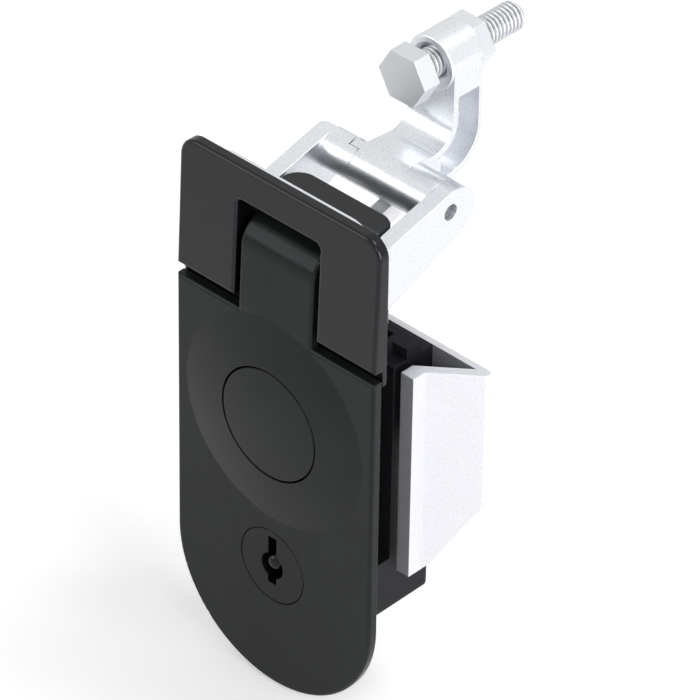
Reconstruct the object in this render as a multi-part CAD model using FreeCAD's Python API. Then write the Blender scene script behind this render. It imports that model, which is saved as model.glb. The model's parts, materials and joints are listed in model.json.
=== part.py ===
import FreeCAD, Part
import math
import os

os.makedirs("parts", exist_ok=True)

# Lever latch for a panel door, in millimetres.
# X is to the right, Y goes through the panel to the rear, Z is up.
# The origin lies on the panel's front face, in line with the push button's axis.

V = FreeCAD.Vector

# Clearances
running_clearance = 0.05
moving_clearance = 0.3
side_play = 0.2

# Front plate
face_width = 50.0
plate_bottom_z = 23.5
plate_top_z = 51.6
plate_rear_gap = 1.6
plate_foot_thickness = 3.3
plate_lean_deg = 2.2
plate_corner_radius = 4.0
front_edge_radius = 0.7
slot_side_gap = 1.15
slot_top_z = 44.5
slot_corner_radius = 1.2
ledge_depth = 1.0
ledge_bottom_z = 20.0

# Lever handle
notch_gap = 2.3
handle_thickness = 2.0
handle_arc_centre_z = -36.9
dome_radius = 22.5
dome_height = 1.8
tongue_width = 18.4
tongue_thickness = 2.2
tongue_radius = 6.15
tongue_skin_end_deg = 100.0
tongue_bend_z = 22.6

# Lever hinge and drive link
hinge_y = 1.75
hinge_z = 34.85
hinge_pin_radius = 1.5
crank_length = 9.0
crank_angle_deg = 45.0
crank_end_radius = 2.4
crank_disc_radius = 4.4
crank_cheek_thickness = 3.0
cheek_root_drop = 6.5
link_pin_radius = 1.2
link_width = 3.0
link_height = 3.8

# Hinge hood behind the front plate
hood_side_wall = 2.4
hood_rear_y = 14.4
hood_low_roof_z = 41.5
hood_high_roof_z = 45.8
hood_slope_rear_y = 9.2
hood_slope_front_y = 4.8
hood_wall = 2.0
hood_roof = 1.8
hood_corner_radius = 4.0
hood_edge_radius = 0.5
link_window_bottom_z = 25.8
link_window_top_z = 36.4
link_window_width = 7.0

# Housing body
body_top_z = 18.2
body_bottom_z = -40.8
body_front_y = -2.4
body_rear_y = 17.3
core_side_gap = 0.4
core_wall = 1.6
wing_width = 37.8
wing_front_y = 6.95
wing_step_y = 10.4
wing_top_z = 15.9
wing_rib_rear_y = 14.4
wing_bottom_z = -28.2
foot_block_rear_y = 18.0
body_floor = 1.8
foot_edge_radius = 1.2
lock_notch_width = 17.6
lock_notch_rear_y = 13.2
joint_tab_width = 15.0
joint_tab_height = 6.2
joint_tab_thickness = 1.5
lock_ledge_inner_x = 9.6
lock_ledge_front_y = 6.2
lock_ledge_rear_y = 8.2
lock_ledge_height = 10.0

# Push button and its guide cup
button_radius = 11.62
button_gap = 0.38
button_travel = 2.5
cup_wall = 1.3
cup_floor_y = 3.4
cup_floor_thickness = 1.6
cap_rear_y = -2.2
skirt_thickness = 1.4
skirt_rear_y = 0.4
stem_radius = 3.0
spring_wire_radius = 0.3
spring_coil_radius = 4.4
spring_turns = 4
release_plate_width = 8.0
release_plate_thickness = 1.2
release_plate_drop = 14.5
release_plate_rise = 4.2
small_screw_radius = 1.5
small_head_radius = 2.7
small_head_height = 1.7

# Spring catch in the housing and the handle's catch lug
catch_width = 6.0
catch_thickness = 0.5
catch_finger_z = -14.9
catch_hook_y = 3.4
catch_foot_drop = 5.0
catch_lug_width = 6.4
catch_lug_top_z = -17.0
catch_lug_height = 2.4
catch_nose_front_y = 4.4
catch_lug_rear_y = 6.0
catch_nose_height = 1.3
catch_hump_rise = 1.6
catch_hump_gap = 0.5
rivet_radius = 1.0
rivet_head_radius = 1.9
rivet_head_height = 0.7

# Lock
lock_z = -33.85
lock_face_radius = 8.0
lock_face_gap = 0.2
lock_face_thickness = 1.5
barrel_radius = 7.4
barrel_rear_y = 8.6
barrel_wall = 1.8
plug_radius = barrel_radius - barrel_wall
barrel_boss_length = 2.2
keyway_width = 2.2
keyway_rise = 6.7
keyway_drop = 4.2
keyhole_radius = 2.8
keyway_depth = 9.0
shutter_gap = 1.1
shutter_thickness = 0.6
shutter_dome_height = 0.9
wafer_count = 4
wafer_thickness = 0.8
wafer_pitch = 1.9
wafer_width = 6.4
first_wafer_depth = 3.0
cam_thickness = 1.8
cam_length = 12.5
cam_width = 8.0
cam_tail_width = 5.0
clip_thickness = 0.8
clip_width = 1.4

# Pivot bracket
bracket_flange = 4.55
bracket_plate_top_z = 50.6
bracket_plate_bottom_z = 24.0
bracket_plate_radius = 6.5
bracket_window_gap = 0.25
arm_gap = 0.3
arm_thickness = 3.4
arm_top_slope_deg = 14.4
arm_bottom_slope_deg = 22.5
arm_level_depth = 3.0
arm_end_y = 25.2
arm_end_z = 40.0
bracket_screw_radius = 1.0
bracket_screw_head_radius = 1.9
bracket_screw_high_z = 44.4
bracket_screw_low_z = 28.2
bracket_screw_depth = 1.5

# Pawl
pivot_y = 23.9
pivot_z = 40.8
pivot_pin_radius = 1.6
pin_end_recess = 1.0
hub_radius = 4.05
hub_block_rear_y = 24.75
boss_inner_x = -5.6
block_inner_x = -8.1
ring_gap = 0.12
slit_gap = 0.3
journal_radius = 2.75
journal_clearance = 0.1
pawl_end_gap = 0.1
left_end_slope_deg = 48.0
left_end_rear_y = 28.4
left_end_radius = 2.0
left_corner_radius = 1.5
ear_front_y = 25.0
ear_root_y = 30.5
pawl_width = 11.1
pawl_front_y = 36.05
pawl_rear_y = 43.6
pawl_base_top_z = 44.5
pawl_base_bottom_z = 37.2
pawl_inner_radius = 4.8
pawl_outer_radius = 8.6
pawl_rim = 1.3
pawl_web = 1.8
pocket_top_z = 54.2
pocket_front_y = 33.0
boss_front_y = 35.4
boss_rear_y = 43.7
boss_radius = 5.55
boss_edge_radius = 0.4
bolt_z = 60.15
bolt_hole_clearance = 0.05
tail_ear_thickness = 2.0
tail_end_radius = 2.4

# Adjusting bolt and lock nut
bolt_radius = 3.0
bolt_head_front_y = 27.9
bolt_head_height = 4.0
bolt_across_flats = 10.0
bolt_end_y = 58.4
bolt_chamfer = 0.7
nut_thickness = 3.2

# Clamp bracket
clamp_thickness = 1.35
clamp_top_z = 15.9
clamp_foot_bottom_z = -29.9
clamp_plate_bottom_z = -10.0
clamp_foot_gap = 1.8
clamp_foot_width = 3.1
clamp_foot_front_y = 6.95
clamp_foot_depth = 3.05
clamp_leg_run = 8.95
clamp_leg_rise = 7.25
clamp_tip_radius = 1.0
clamp_corner_radius = 2.0
clamp_screw_x = 9.0
clamp_screw_z = 3.0
clamp_screw_radius = 2.0
clamp_head_radius = 3.5
clamp_head_height = 2.6
clamp_boss_radius = 3.6
clamp_boss_depth = 3.0

# Places that follow from the sizes above
slot_width = tongue_width + 2 * slot_side_gap
hood_width = slot_width + 2 * hood_side_wall
arm_span = hood_width + 2 * (arm_gap + arm_thickness)
half_width = face_width / 2
plate_rear_y = -plate_rear_gap
plate_front_y = plate_rear_y - plate_foot_thickness
lean = math.tan(math.radians(plate_lean_deg))
plate_top_front_y = plate_front_y + (plate_top_z - plate_bottom_z) * lean
shoulder_z = plate_bottom_z - notch_gap
handle_rear_y = plate_front_y + handle_thickness
crank_angle = math.radians(crank_angle_deg)
crank_dy = crank_length * math.sin(crank_angle)
crank_dz = -crank_length * math.cos(crank_angle)
crank_pin_y = hinge_y + crank_dy
crank_pin_z = hinge_z + crank_dz
tail_pin_y = pivot_y + crank_dy
tail_pin_z = pivot_z + crank_dz
link_half = link_width / 2
cheek_inner_x = link_half + side_play
cheek_outer_x = cheek_inner_x + crank_cheek_thickness
hole_radius = button_radius + button_gap
cup_radius = hole_radius + cup_wall
cup_rear_y = cup_floor_y + cup_floor_thickness
core_width = 2 * (cup_radius + core_side_gap + core_wall)
release_plate_front_y = cup_rear_y + moving_clearance
release_plate_rear_y = release_plate_front_y + release_plate_thickness
arm_slope = math.radians(arm_top_slope_deg)
arm_end_offset = (arm_end_y - pivot_y) * math.sin(arm_slope) - (arm_end_z - pivot_z) * math.cos(arm_slope)
arm_end_radius = hub_radius + arm_end_offset
arm_outer_x = arm_span / 2
bracket_plate_width = arm_span + 2 * bracket_flange
bracket_screw_x = arm_outer_x + bracket_flange / 2
clamp_foot_inner_x = wing_width / 2 + clamp_foot_gap
arm_inner_x = arm_outer_x - arm_thickness
body_inner_rear_y = body_rear_y - core_wall
cavity_half = core_width / 2 - core_wall
dome_sphere_radius = (dome_radius ** 2 + dome_height ** 2) / (2 * dome_height)
dome_centre_y = plate_front_y - dome_height + dome_sphere_radius


def box(x0, x1, y0, y1, z0, z1):
    return Part.makeBox(x1 - x0, y1 - y0, z1 - z0, V(x0, y0, z0))


def rod_x(y, z, radius, x0, x1):
    return Part.makeCylinder(radius, x1 - x0, V(x0, y, z), V(1, 0, 0))


def rod_y(x, z, radius, y0, y1):
    return Part.makeCylinder(radius, y1 - y0, V(x, y0, z), V(0, 1, 0))


def closed_face(points):
    return Part.Face(Part.makePolygon(points + [points[0]]))


def prism_x(points, x0, x1):
    """Outline given as (y, z), drawn out from x0 to x1."""
    return closed_face([V(x0, y, z) for y, z in points]).extrude(V(x1 - x0, 0, 0))


def prism_y(points, y0, y1):
    """Outline given as (x, z), drawn out from y0 to y1."""
    return closed_face([V(x, y0, z) for x, z in points]).extrude(V(0, y1 - y0, 0))


def prism_z(points, z0, z1):
    """Outline given as (x, y), drawn out from z0 to z1."""
    return closed_face([V(x, y, z0) for x, y in points]).extrude(V(0, 0, z1 - z0))


def joined(shapes):
    first, rest = shapes[0], shapes[1:]
    return first.fuse(rest).removeSplitter() if rest else first


def lying_along(shape, axis, tests):
    """Straight edges parallel to an axis, whose middle passes every test."""
    found = []
    for edge in shape.Edges:
        if not isinstance(edge.Curve, Part.Line):
            continue
        if abs(edge.Curve.Direction.dot(axis)) < 0.999:
            continue
        middle = edge.valueAt((edge.FirstParameter + edge.LastParameter) / 2)
        if all(test(middle) for test in tests):
            found.append(edge)
    return found


def near(value, target):
    return abs(value - target) < 0.01


def front_edges(shape, on_front):
    """Edges whose ends and middle all lie on the front face."""
    found = []
    for edge in shape.Edges:
        mid = edge.valueAt((edge.FirstParameter + edge.LastParameter) / 2)
        ends = [vertex.Point for vertex in edge.Vertexes]
        if all(on_front(point) for point in ends + [mid]):
            found.append(edge)
    return found


def hexagon(x, z, across_flats):
    corner = across_flats / math.sqrt(3)
    angles = [math.radians(60 * step) for step in range(6)]
    return [(x + corner * math.cos(a), z + corner * math.sin(a)) for a in angles]


def coil(start, axis, coil_radius, wire_radius, pitch, turns):
    """A round wire wound about an axis, from a starting point on the axis."""
    helix = Part.makeHelix(pitch, pitch * turns, coil_radius)
    section = Part.Wire(Part.makeCircle(wire_radius, V(coil_radius, 0, 0), V(0, 1, 0)))
    wound = Part.Wire(helix.Edges).makePipeShell([section], True, True)
    wound.Placement = FreeCAD.Placement(start, FreeCAD.Rotation(V(0, 0, 1), axis))
    return wound


def pan_screw(x, z, seat_y, radius, depth, head_radius, head_height):
    """A pan head screw that goes forward from its seat, head to the rear."""
    shank = rod_y(x, z, radius, seat_y - depth, seat_y)
    head = rod_y(x, z, head_radius, seat_y, seat_y + head_height)
    rim = [e for e in head.Edges if near(e.BoundBox.YMin, seat_y + head_height)]
    head = head.makeFillet(head_height * 0.45, [e for e in rim if near(e.BoundBox.YLength, 0)])
    cross = head_radius * 0.55
    arm = head_radius * 0.13
    low = seat_y + head_height * 0.45
    high = seat_y + head_height + 1
    head = head.cut(box(x - cross, x + cross, low, high, z - arm, z + arm))
    head = head.cut(box(x - arm, x + arm, low, high, z - cross, z + cross))
    return joined([shank, head])


def front_plate():
    profile = [(plate_rear_y, plate_bottom_z), (plate_front_y, plate_bottom_z),
               (plate_top_front_y, plate_top_z), (plate_rear_y, plate_top_z)]
    plate = prism_x(profile, -half_width, half_width)
    top_corners = lying_along(plate, V(0, 1, 0), [lambda p: near(p.z, plate_top_z)])
    plate = plate.makeFillet(plate_corner_radius, top_corners)
    slot = box(-slot_width / 2, slot_width / 2, plate_front_y - 1, plate_rear_y + 1,
               plate_bottom_z - 1, slot_top_z)
    slot_corners = lying_along(slot, V(0, 1, 0), [lambda p: near(p.z, slot_top_z)])
    plate = plate.cut(slot.makeFillet(slot_corner_radius, slot_corners))

    def leaning_front(p):
        return near(p.y, plate_front_y + (p.z - plate_bottom_z) * lean)

    plate = plate.makeFillet(front_edge_radius, front_edges(plate, leaning_front))
    ledges = [box(min(side * slot_width / 2, side * half_width), max(side * slot_width / 2, side * half_width),
                  plate_rear_y - ledge_depth, plate_rear_y, ledge_bottom_z, plate_bottom_z + 1)
              for side in (-1, 1)]
    plate = joined([plate, hinge_hood()] + ledges)
    for x in (-bracket_screw_x, bracket_screw_x):
        for z in (bracket_screw_low_z, bracket_screw_high_z):
            plate = plate.cut(rod_y(x, z, bracket_screw_radius, plate_rear_y - bracket_screw_depth,
                                    plate_rear_y + 1))
    return plate


def hinge_hood():
    half = hood_width / 2
    outer = [(plate_rear_y, body_top_z), (hood_rear_y, body_top_z),
             (hood_rear_y, hood_low_roof_z), (hood_slope_rear_y, hood_low_roof_z),
             (hood_slope_front_y, hood_high_roof_z), (plate_rear_y, hood_high_roof_z)]
    hood = prism_x(outer, -half, half)
    rear_corners = lying_along(hood, V(0, 0, 1), [lambda p: near(p.y, hood_rear_y)])
    hood = hood.makeFillet(hood_corner_radius, rear_corners)
    rear_edges = [e for e in hood.Edges if near(e.BoundBox.ZMin, hood_low_roof_z)
                  and near(e.BoundBox.ZMax, hood_low_roof_z)
                  and e.BoundBox.YMax > hood_slope_rear_y + 0.01]
    hood = hood.makeFillet(hood_edge_radius, rear_edges)
    inner_half = slot_width / 2
    drop = hood_roof * math.tan(math.radians(22.5))
    inner = [(plate_rear_y - 1, body_top_z - 1), (hood_rear_y - hood_wall, body_top_z - 1),
             (hood_rear_y - hood_wall, hood_low_roof_z - hood_roof),
             (hood_slope_rear_y - drop, hood_low_roof_z - hood_roof),
             (hood_slope_front_y - drop, hood_high_roof_z - hood_roof),
             (plate_rear_y - 1, hood_high_roof_z - hood_roof)]
    hood = hood.cut(prism_x(inner, -inner_half, inner_half))
    hood = hood.cut(box(-link_window_width / 2, link_window_width / 2,
                        hood_rear_y - hood_wall - 1, hood_rear_y + 1,
                        link_window_bottom_z, link_window_top_z))
    hood = hood.cut(rod_x(hinge_y, hinge_z, hinge_pin_radius, -half - 1, half + 1))
    for x in (-joint_screw_x, joint_screw_x):
        hood = hood.cut(rod_y(x, joint_screw_z, small_screw_radius,
                              hood_rear_y - hood_wall - 1, hood_rear_y + 1))
    return hood


joint_screw_x = joint_tab_width / 2 - 3.0
joint_screw_z = body_top_z + joint_tab_height / 2


def housing_body():
    core = prism_x([(body_front_y, body_bottom_z), (body_rear_y, body_bottom_z),
                    (body_rear_y, wing_top_z), (wing_rib_rear_y, wing_top_z),
                    (wing_rib_rear_y, body_top_z), (body_front_y, body_top_z)],
                   -core_width / 2, core_width / 2)
    half = wing_width / 2
    wing_profile = [(wing_front_y, wing_bottom_z), (body_rear_y, wing_bottom_z),
                    (body_rear_y, wing_top_z), (wing_rib_rear_y, wing_top_z),
                    (wing_rib_rear_y, body_top_z), (wing_step_y, body_top_z),
                    (wing_step_y, wing_top_z), (wing_front_y, wing_top_z)]
    wings = prism_x(wing_profile, -half, half)
    foot = box(-half, half, body_front_y, foot_block_rear_y, body_bottom_z, wing_bottom_z)
    foot_edges = lying_along(foot, V(0, 1, 0), [lambda p: near(p.z, body_bottom_z)])
    foot_edges += lying_along(foot, V(1, 0, 0), [lambda p: near(p.z, body_bottom_z),
                                                 lambda p: near(p.y, foot_block_rear_y)])
    foot_edges += lying_along(foot, V(0, 0, 1), [lambda p: near(p.y, foot_block_rear_y)])
    foot = foot.makeFillet(foot_edge_radius, foot_edges)
    body = joined([core, wings, foot])
    cavity = box(-cavity_half, cavity_half, body_front_y - 1, body_inner_rear_y,
                 body_bottom_z + body_floor, wing_top_z - core_wall)
    neck = box(-cavity_half, cavity_half, body_front_y - 1, hood_rear_y - hood_wall,
               wing_top_z - core_wall - 1, body_top_z + 1)
    cavity = joined([cavity, neck])
    body = body.cut(cavity)
    ledge = box(lock_ledge_inner_x, cavity_half + 0.5, lock_ledge_front_y, lock_ledge_rear_y,
                lock_z - lock_ledge_height / 2, lock_z + lock_ledge_height / 2)
    bosses = [rod_y(x, clamp_screw_z, clamp_boss_radius,
                    body_inner_rear_y - clamp_boss_depth, body_inner_rear_y + 0.5)
              for x in (-clamp_screw_x, clamp_screw_x)]
    tab = box(-joint_tab_width / 2, joint_tab_width / 2, hood_rear_y,
              hood_rear_y + joint_tab_thickness, wing_top_z - core_wall,
              body_top_z + joint_tab_height)
    body = joined([body, ledge, tab] + bosses)
    notch = box(-lock_notch_width / 2, lock_notch_width / 2, body_front_y - 1,
                lock_notch_rear_y, body_bottom_z - 1, body_bottom_z + body_floor + 1)
    body = body.cut(notch)
    for x in (-clamp_screw_x, clamp_screw_x):
        body = body.cut(rod_y(x, clamp_screw_z, clamp_screw_radius,
                              body_inner_rear_y - clamp_boss_depth - 1, body_rear_y + 1))
    for x in (-joint_screw_x, joint_screw_x):
        body = body.cut(rod_y(x, joint_screw_z, small_screw_radius,
                              hood_rear_y - 1, hood_rear_y + joint_tab_thickness + 1))
    body = body.cut(rod_y(0, catch_rivet_z, rivet_radius, body_inner_rear_y - 1, body_rear_y + 1))
    return body


catch_rivet_z = catch_finger_z - catch_foot_drop / 2


def handle_plate():
    """The wide part of the handle, with its round lower end."""
    centre = V(0, plate_front_y, handle_arc_centre_z)
    right_top = V(half_width, plate_front_y, shoulder_z)
    left_top = V(-half_width, plate_front_y, shoulder_z)
    right_low = centre + V(half_width, 0, 0)
    left_low = centre - V(half_width, 0, 0)
    lowest = centre - V(0, 0, half_width)
    outline = Part.Wire([Part.makeLine(left_top, right_top),
                         Part.makeLine(right_top, right_low),
                         Part.Arc(right_low, lowest, left_low).toShape(),
                         Part.makeLine(left_low, left_top)])
    return Part.Face(outline).extrude(V(0, handle_thickness, 0))


def tongue():
    """The neck that runs up through the slot and curls over the hinge."""
    half = tongue_width / 2
    forward, above = hinge_y - plate_front_y, hinge_z - tongue_bend_z
    reach = math.hypot(forward, above)
    rise_angle = math.atan2(above, forward) + math.asin(tongue_radius / reach)
    touch_angle = math.pi / 2 + rise_angle
    end_angle = math.radians(tongue_skin_end_deg)

    def on_arc(radius, angle):
        return V(-half, hinge_y + radius * math.cos(angle), hinge_z + radius * math.sin(angle))

    outer_start = on_arc(tongue_radius, touch_angle)
    inner_radius = tongue_radius - tongue_thickness
    inner_start = on_arc(inner_radius, touch_angle)
    mid_angle = (touch_angle + end_angle) / 2
    root_z = shoulder_z - front_edge_radius * 3
    outer_low = V(-half, plate_front_y, root_z)
    outer_bend = V(-half, plate_front_y, tongue_bend_z)
    inner_low = V(-half, handle_rear_y, root_z)
    outline = Part.Wire([
        Part.makeLine(outer_low, outer_bend),
        Part.makeLine(outer_bend, outer_start),
        Part.Arc(outer_start, on_arc(tongue_radius, mid_angle),
                 on_arc(tongue_radius, end_angle)).toShape(),
        Part.makeLine(on_arc(tongue_radius, end_angle), on_arc(inner_radius, end_angle)),
        Part.Arc(on_arc(inner_radius, end_angle), on_arc(inner_radius, mid_angle),
                 inner_start).toShape(),
        Part.makeLine(inner_start, inner_low),
        Part.makeLine(inner_low, outer_low)])
    return Part.Face(outline).extrude(V(tongue_width, 0, 0))


def on_tongue_front(edge):
    """True for the outer line and the outer arc of the tongue's side view."""
    middle = edge.valueAt((edge.FirstParameter + edge.LastParameter) / 2)
    reach = math.hypot(middle.y - hinge_y, middle.z - hinge_z)
    if middle.z > hinge_z:
        return near(reach, tongue_radius)
    return middle.y < plate_front_y + (middle.z - shoulder_z) * lean + 0.3


def strut(y0, z0, y1, z1, radius, x0, x1):
    """A flat bar with round ends between two points."""
    length = math.hypot(y1 - y0, z1 - z0)
    dy, dz = (y1 - y0) / length * radius, (z1 - z0) / length * radius
    bar = prism_x([(y0 - dz, z0 + dy), (y1 - dz, z1 + dy), (y1 + dz, z1 - dy), (y0 + dz, z0 - dy)],
                  x0, x1)
    return joined([bar, rod_x(y0, z0, radius, x0, x1), rod_x(y1, z1, radius, x0, x1)])


def handle():
    plate = handle_plate()
    plate = plate.makeFillet(front_edge_radius,
                             front_edges(plate, lambda p: near(p.y, plate_front_y)))
    neck = tongue()
    half_neck = tongue_width / 2
    sides = [e for e in neck.Edges if near(abs(e.CenterOfMass.x), half_neck)
             and e.Length > tongue_thickness * 1.2 and on_tongue_front(e)]
    neck = neck.makeFillet(front_edge_radius, sides)
    sphere = Part.makeSphere(dome_sphere_radius, V(0, dome_centre_y, 0))
    dome_rod = rod_y(0, 0, dome_radius, plate_front_y - dome_height - 1, handle_rear_y)
    dome = dome_rod.common(sphere)
    plate = joined([plate, neck, dome])
    cup = rod_y(0, 0, cup_radius, handle_rear_y - 0.5, cup_rear_y)
    barrel_boss_rear = handle_rear_y + barrel_boss_length
    boss = rod_y(0, lock_z, lock_face_radius + 0.8, handle_rear_y - 0.5, barrel_boss_rear)
    cheeks = []
    for x0, x1 in ((cheek_inner_x, cheek_outer_x), (-cheek_outer_x, -cheek_inner_x)):
        cheeks.append(rod_x(hinge_y, hinge_z, crank_disc_radius, x0, x1))
        cheeks.append(strut(hinge_y, hinge_z, crank_pin_y, crank_pin_z, crank_end_radius, x0, x1))
        cheeks.append(prism_x([(handle_rear_y - 1.0, hinge_z - cheek_root_drop), (handle_rear_y - 1.0, hinge_z + 1),
                               (hinge_y, hinge_z + 2), (hinge_y + 1, hinge_z - 4)], x0, x1))
    lug = catch_lug()
    whole = joined([plate, cup, boss, lug] + cheeks)
    whole = whole.cut(rod_y(0, 0, hole_radius, plate_front_y - dome_height - 1, cup_floor_y))
    whole = whole.cut(rod_y(0, 0, stem_radius + side_play, cup_floor_y - 1, cup_rear_y + 1))
    whole = whole.cut(rod_y(0, lock_z, lock_face_radius + lock_face_gap, plate_front_y - 1,
                            plate_front_y + lock_face_thickness + 0.1))
    whole = whole.cut(rod_y(0, lock_z, barrel_radius, plate_front_y, barrel_boss_rear + 1))
    whole = whole.cut(rod_x(hinge_y, hinge_z, hinge_pin_radius + running_clearance,
                            -half_width, half_width))
    whole = whole.cut(rod_x(crank_pin_y, crank_pin_z, link_pin_radius, -half_width, half_width))
    return whole


def catch_lug():
    half = catch_lug_width / 2
    low = catch_lug_top_z - catch_lug_height
    profile = [(handle_rear_y - 0.5, low), (catch_lug_rear_y, low),
               (catch_lug_rear_y, catch_lug_top_z),
               (catch_nose_front_y + 0.3, catch_lug_top_z + catch_nose_height),
               (catch_nose_front_y, catch_lug_top_z + catch_nose_height),
               (catch_nose_front_y, catch_lug_top_z), (handle_rear_y - 0.5, catch_lug_top_z)]
    return prism_x(profile, -half, half)


def push_button():
    sphere = Part.makeSphere(dome_sphere_radius, V(0, dome_centre_y, 0))
    cap = rod_y(0, 0, button_radius, plate_front_y - dome_height - 1, cap_rear_y).common(sphere)
    rim = [e for e in cap.Edges if e.BoundBox.YMax < plate_front_y + 0.1
           and e.BoundBox.ZLength > button_radius]
    cap = cap.makeFillet(0.25, rim)
    skirt = rod_y(0, 0, button_radius, cap_rear_y - 0.2, skirt_rear_y)
    skirt = skirt.cut(rod_y(0, 0, button_radius - skirt_thickness, cap_rear_y - 1, skirt_rear_y + 1))
    stem = rod_y(0, 0, stem_radius, cap_rear_y - 0.2, release_plate_front_y)
    pilot = rod_y(0, 0, small_screw_radius, cap_rear_y + 0.6, release_plate_front_y + 1)
    return joined([cap, skirt, stem]).cut(pilot)


def release_plate():
    half = release_plate_width / 2
    plate = box(-half, half, release_plate_front_y, release_plate_rear_y,
                -release_plate_drop, release_plate_rise)
    corners = lying_along(plate, V(0, 1, 0), [lambda p: True])
    plate = plate.makeFillet(release_plate_width / 4, corners)
    return plate.cut(rod_y(0, 0, small_screw_radius, release_plate_front_y - 1,
                           release_plate_rear_y + 1))


def release_screw():
    depth = release_plate_rear_y - cap_rear_y - 1.0
    return pan_screw(0, 0, release_plate_rear_y, small_screw_radius, depth,
                     small_head_radius, small_head_height)


def button_spring():
    free = cup_floor_y - cap_rear_y - 2 * spring_wire_radius - 0.1
    return coil(V(0, cap_rear_y + spring_wire_radius + 0.05, 0), V(0, 1, 0),
                spring_coil_radius, spring_wire_radius, free / spring_turns, spring_turns)


def spring_catch():
    """A leaf riveted to the rear wall, with a finger that hooks over the handle's lug."""
    half = catch_width / 2
    t = catch_thickness
    rear = body_inner_rear_y
    hook_low = catch_lug_top_z + 0.25
    finger = catch_finger_z
    foot_low = finger - catch_foot_drop
    hump = release_plate_rear_y + catch_hump_gap
    top = finger + catch_hump_rise
    profile = [(rear, foot_low), (rear, finger), (hump + 3.6, finger), (hump + 2.4, top), (hump + 1.9, top),
               (hump, finger), (catch_hook_y, finger),
               (catch_hook_y, hook_low), (catch_hook_y + t, hook_low),
               (catch_hook_y + t, finger - t), (hump + t, finger - t), (hump + 2.1, top - t),
               (hump + 3.4, finger - t), (rear - t, finger - t), (rear - t, foot_low)]
    leaf = prism_x(profile, -half, half)
    return leaf.cut(rod_y(0, catch_rivet_z, rivet_radius, rear - 2 * t, rear + 1))


def catch_rivet():
    seat = body_inner_rear_y - catch_thickness
    head = rod_y(0, catch_rivet_z, rivet_head_radius, seat - rivet_head_height, seat)
    return joined([head, rod_y(0, catch_rivet_z, rivet_radius, seat, body_rear_y)])


def lock_barrel():
    front = plate_front_y + lock_face_thickness + 0.1
    barrel = rod_y(0, lock_z, barrel_radius, front, barrel_rear_y)
    return barrel.cut(rod_y(0, lock_z, plug_radius + running_clearance, front - 1, barrel_rear_y + 1))


def barrel_clip():
    """A horseshoe clip in a groove round the barrel, behind the handle's boss."""
    front = handle_rear_y + barrel_boss_length
    outer = rod_y(0, lock_z, barrel_radius + clip_width, front, front + clip_thickness)
    ring = outer.cut(rod_y(0, lock_z, barrel_radius, front - 1, front + clip_thickness + 1))
    opening = barrel_radius * 0.6
    return ring.cut(box(-opening, opening, front - 1, front + clip_thickness + 1,
                        lock_z - barrel_radius - clip_width - 1, lock_z))


def keyhole(front, depth):
    slot = box(-keyway_width / 2, keyway_width / 2, front - 1, front + depth,
               lock_z - keyway_drop, lock_z + keyway_rise)
    return joined([slot, rod_y(0, lock_z, keyhole_radius, front - 1, front + depth)])


def lock_plug():
    face = rod_y(0, lock_z, lock_face_radius, plate_front_y, plate_front_y + lock_face_thickness)
    rim = [e for e in face.Edges if near(e.BoundBox.YMax, plate_front_y)]
    face = face.makeFillet(0.15, rim)
    plug_front = plate_front_y + lock_face_thickness - 0.2
    plug = rod_y(0, lock_z, plug_radius, plug_front, barrel_rear_y + 0.2)
    tail = box(-cam_tail_width / 2, cam_tail_width / 2, barrel_rear_y, barrel_rear_y + cam_thickness,
               lock_z - cam_tail_width / 2, lock_z + cam_tail_width / 2)
    whole = joined([face, plug, tail]).cut(keyhole(plate_front_y, keyway_depth))
    whole = whole.cut(rod_y(0, lock_z, small_screw_radius, barrel_rear_y - 3.0,
                            barrel_rear_y + cam_thickness + 1))
    for y in wafer_places():
        whole = whole.cut(wafer_space(y))
    return whole


def wafer_places():
    first = plate_front_y + lock_face_thickness + first_wafer_depth
    return [first + wafer_pitch * step for step in range(wafer_count)]


def wafer_space(y):
    return box(-wafer_width / 2, wafer_width / 2, y, y + wafer_thickness,
               lock_z - plug_radius - 1, lock_z + plug_radius + 1)


def lock_wafers():
    hole = keyhole(plate_front_y, keyway_depth)
    rounding = rod_y(0, lock_z, plug_radius - 0.1, plate_front_y, barrel_rear_y)
    return Part.makeCompound([wafer_space(y).common(rounding).cut(hole) for y in wafer_places()])


def key_shutter():
    """The spring flap that closes the keyway, just inside the face."""
    front = plate_front_y + shutter_gap
    flap = rod_y(0, lock_z, keyhole_radius, front, front + shutter_thickness)
    ball_radius = (keyhole_radius ** 2 + shutter_dome_height ** 2) / (2 * shutter_dome_height)
    ball = Part.makeSphere(ball_radius, V(0, front - shutter_dome_height + ball_radius, lock_z))
    dome = ball.common(rod_y(0, lock_z, keyhole_radius, front - shutter_dome_height, front + 0.1))
    tail = box(-keyway_width / 2, keyway_width / 2, front, front + shutter_thickness,
               lock_z - keyway_drop, lock_z + plug_radius - shutter_thickness)
    return joined([flap, dome, tail])


def lock_cam():
    y0, y1 = barrel_rear_y + 0.2, barrel_rear_y + cam_thickness
    cam = box(-cam_width / 2, cam_width / 2, y0, y1, lock_z, lock_z + cam_length)
    tip = lying_along(cam, V(0, 1, 0), [lambda p: near(p.z, lock_z + cam_length)])
    cam = cam.makeFillet(cam_width * 0.35, tip)
    cam = joined([cam, rod_y(0, lock_z, cam_width / 2, y0, y1)])
    return cam.cut(box(-cam_tail_width / 2, cam_tail_width / 2, y0 - 1, y1 + 1,
                       lock_z - cam_tail_width / 2, lock_z + cam_tail_width / 2))


def cam_screw():
    seat = barrel_rear_y + cam_thickness
    return pan_screw(0, lock_z, seat, small_screw_radius, cam_thickness + 2.0,
                     small_head_radius + 0.6, small_head_height - 0.3)


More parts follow.
